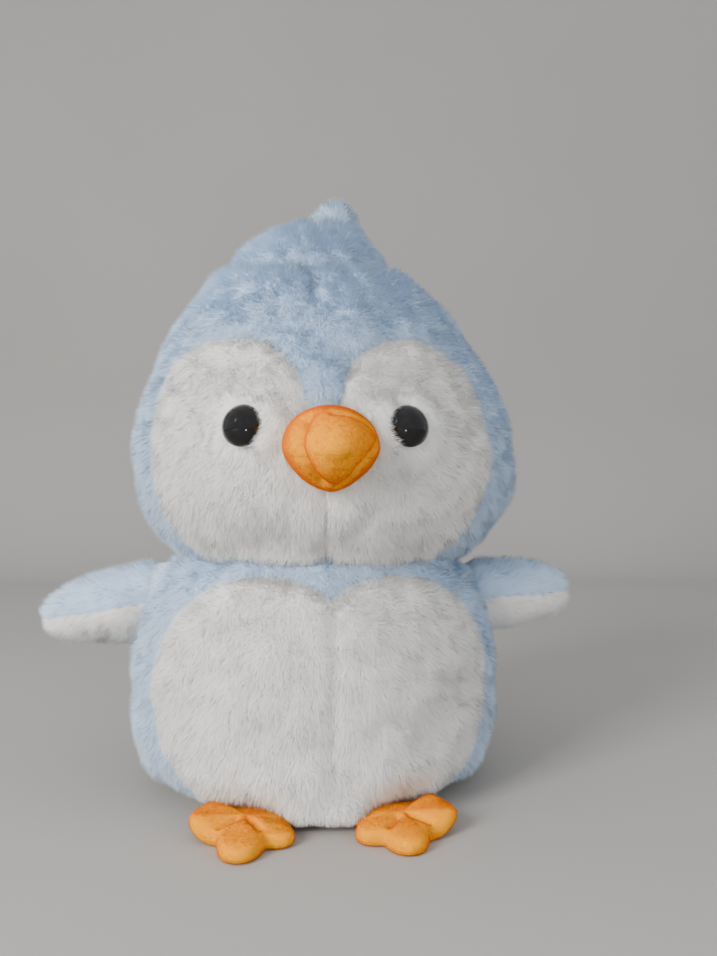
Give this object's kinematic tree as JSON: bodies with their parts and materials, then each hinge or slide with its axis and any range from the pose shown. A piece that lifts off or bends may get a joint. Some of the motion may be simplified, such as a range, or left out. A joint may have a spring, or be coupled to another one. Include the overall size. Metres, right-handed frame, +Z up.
{
  "type": "plush penguin",
  "caption": "Sitting plush penguin with a pear-shaped head, heart-shaped white face and belly, short flippers, a soft beak, and flat webbed feet.",
  "frame": {"origin": "middle of the base panel's resting face, under the upright axis of the body", "axes": "+Z up, -Y the way the face looks, +X to the right of someone who faces the toy"},
  "size_m": [0.2983, 0.2054, 0.32],
  "materials": {
    "fur_blue": "soft brushed fur pile",
    "fur_white": "soft brushed fur pile",
    "velboa_orange": "short velvet pile",
    "eye_black": "polished",
    "washer_plastic": "moulded",
    "fibre_fill": "loose fibre"
  },
  "bodies": {
    "torso": {"belly_left": "fur_white", "belly_right": "fur_white", "body_side_left": "fur_blue", "body_side_right": "fur_blue", "body_back_left": "fur_blue", "body_back_right": "fur_blue", "base_panel": "fur_white", "body_stuffing": "fibre_fill"},
    "neck": {"neck_seam": "fur_blue", "neck_stuffing": "fibre_fill"},
    "head": {"face_left": "fur_white", "face_right": "fur_white", "head_side_left": "fur_blue", "head_side_right": "fur_blue", "head_back_left": "fur_blue", "head_back_right": "fur_blue", "crest_front": "fur_blue", "crest_back": "fur_blue", "eye_left": "eye_black", "eye_right": "eye_black", "eye_washer_left": "washer_plastic", "eye_washer_right": "washer_plastic", "beak_upper": "velboa_orange", "beak_lower": "velboa_orange", "beak_stuffing": "fibre_fill", "head_stuffing": "fibre_fill"},
    "flipper_left": {"flipper_left_top": "fur_blue", "flipper_left_under": "fur_white", "flipper_left_stuffing": "fibre_fill"},
    "flipper_right": {"flipper_right_top": "fur_blue", "flipper_right_under": "fur_white", "flipper_right_stuffing": "fibre_fill"},
    "foot_left": {"foot_left_upper": "velboa_orange", "foot_left_sole": "velboa_orange", "foot_left_stuffing": "fibre_fill"},
    "foot_right": {"foot_right_upper": "velboa_orange", "foot_right_sole": "velboa_orange", "foot_right_stuffing": "fibre_fill"}
  },
  "joints": [
    {"name": "head_turn", "type": "hinge", "parent": "torso", "child": "neck", "pos_m": [0.0025, 0, 0.1235], "axis": [0, 0, 1], "range_deg": [-15, 15], "stiffness_Nm_per_rad": 1},
    {"name": "head_nod", "type": "hinge", "parent": "neck", "child": "head", "pos_m": [0.0025, 0, 0.1235], "axis": [1, 0, 0], "range_deg": [-8, 8], "stiffness_Nm_per_rad": 1.5, "deforming": ["neck_seam", "neck_stuffing"]},
    {"name": "flipper_left_lift", "type": "hinge", "parent": "torso", "child": "flipper_left", "pos_m": [-0.09547, -0.01004, 0.098], "axis": [-0.1045, 0.9945, 0], "range_deg": [-18, 40], "stiffness_Nm_per_rad": 0.15, "deforming": ["flipper_left_stuffing"]},
    {"name": "flipper_right_lift", "type": "hinge", "parent": "torso", "child": "flipper_right", "pos_m": [0.09547, 0.01004, 0.098], "axis": [0.1045, -0.9945, 0], "range_deg": [-27, 35], "stiffness_Nm_per_rad": 0.15, "deforming": ["flipper_right_stuffing"]},
    {"name": "foot_left_lift", "type": "hinge", "parent": "torso", "child": "foot_left", "pos_m": [-0.036, -0.076, 0.002], "axis": [-1, 0, 0], "range_deg": [0, 20], "stiffness_Nm_per_rad": 0.1, "deforming": ["foot_left_stuffing"]},
    {"name": "foot_right_lift", "type": "hinge", "parent": "torso", "child": "foot_right", "pos_m": [0.036, -0.076, 0.002], "axis": [-1, 0, 0], "range_deg": [0, 20], "stiffness_Nm_per_rad": 0.1, "deforming": ["foot_right_stuffing"]}
  ]
}
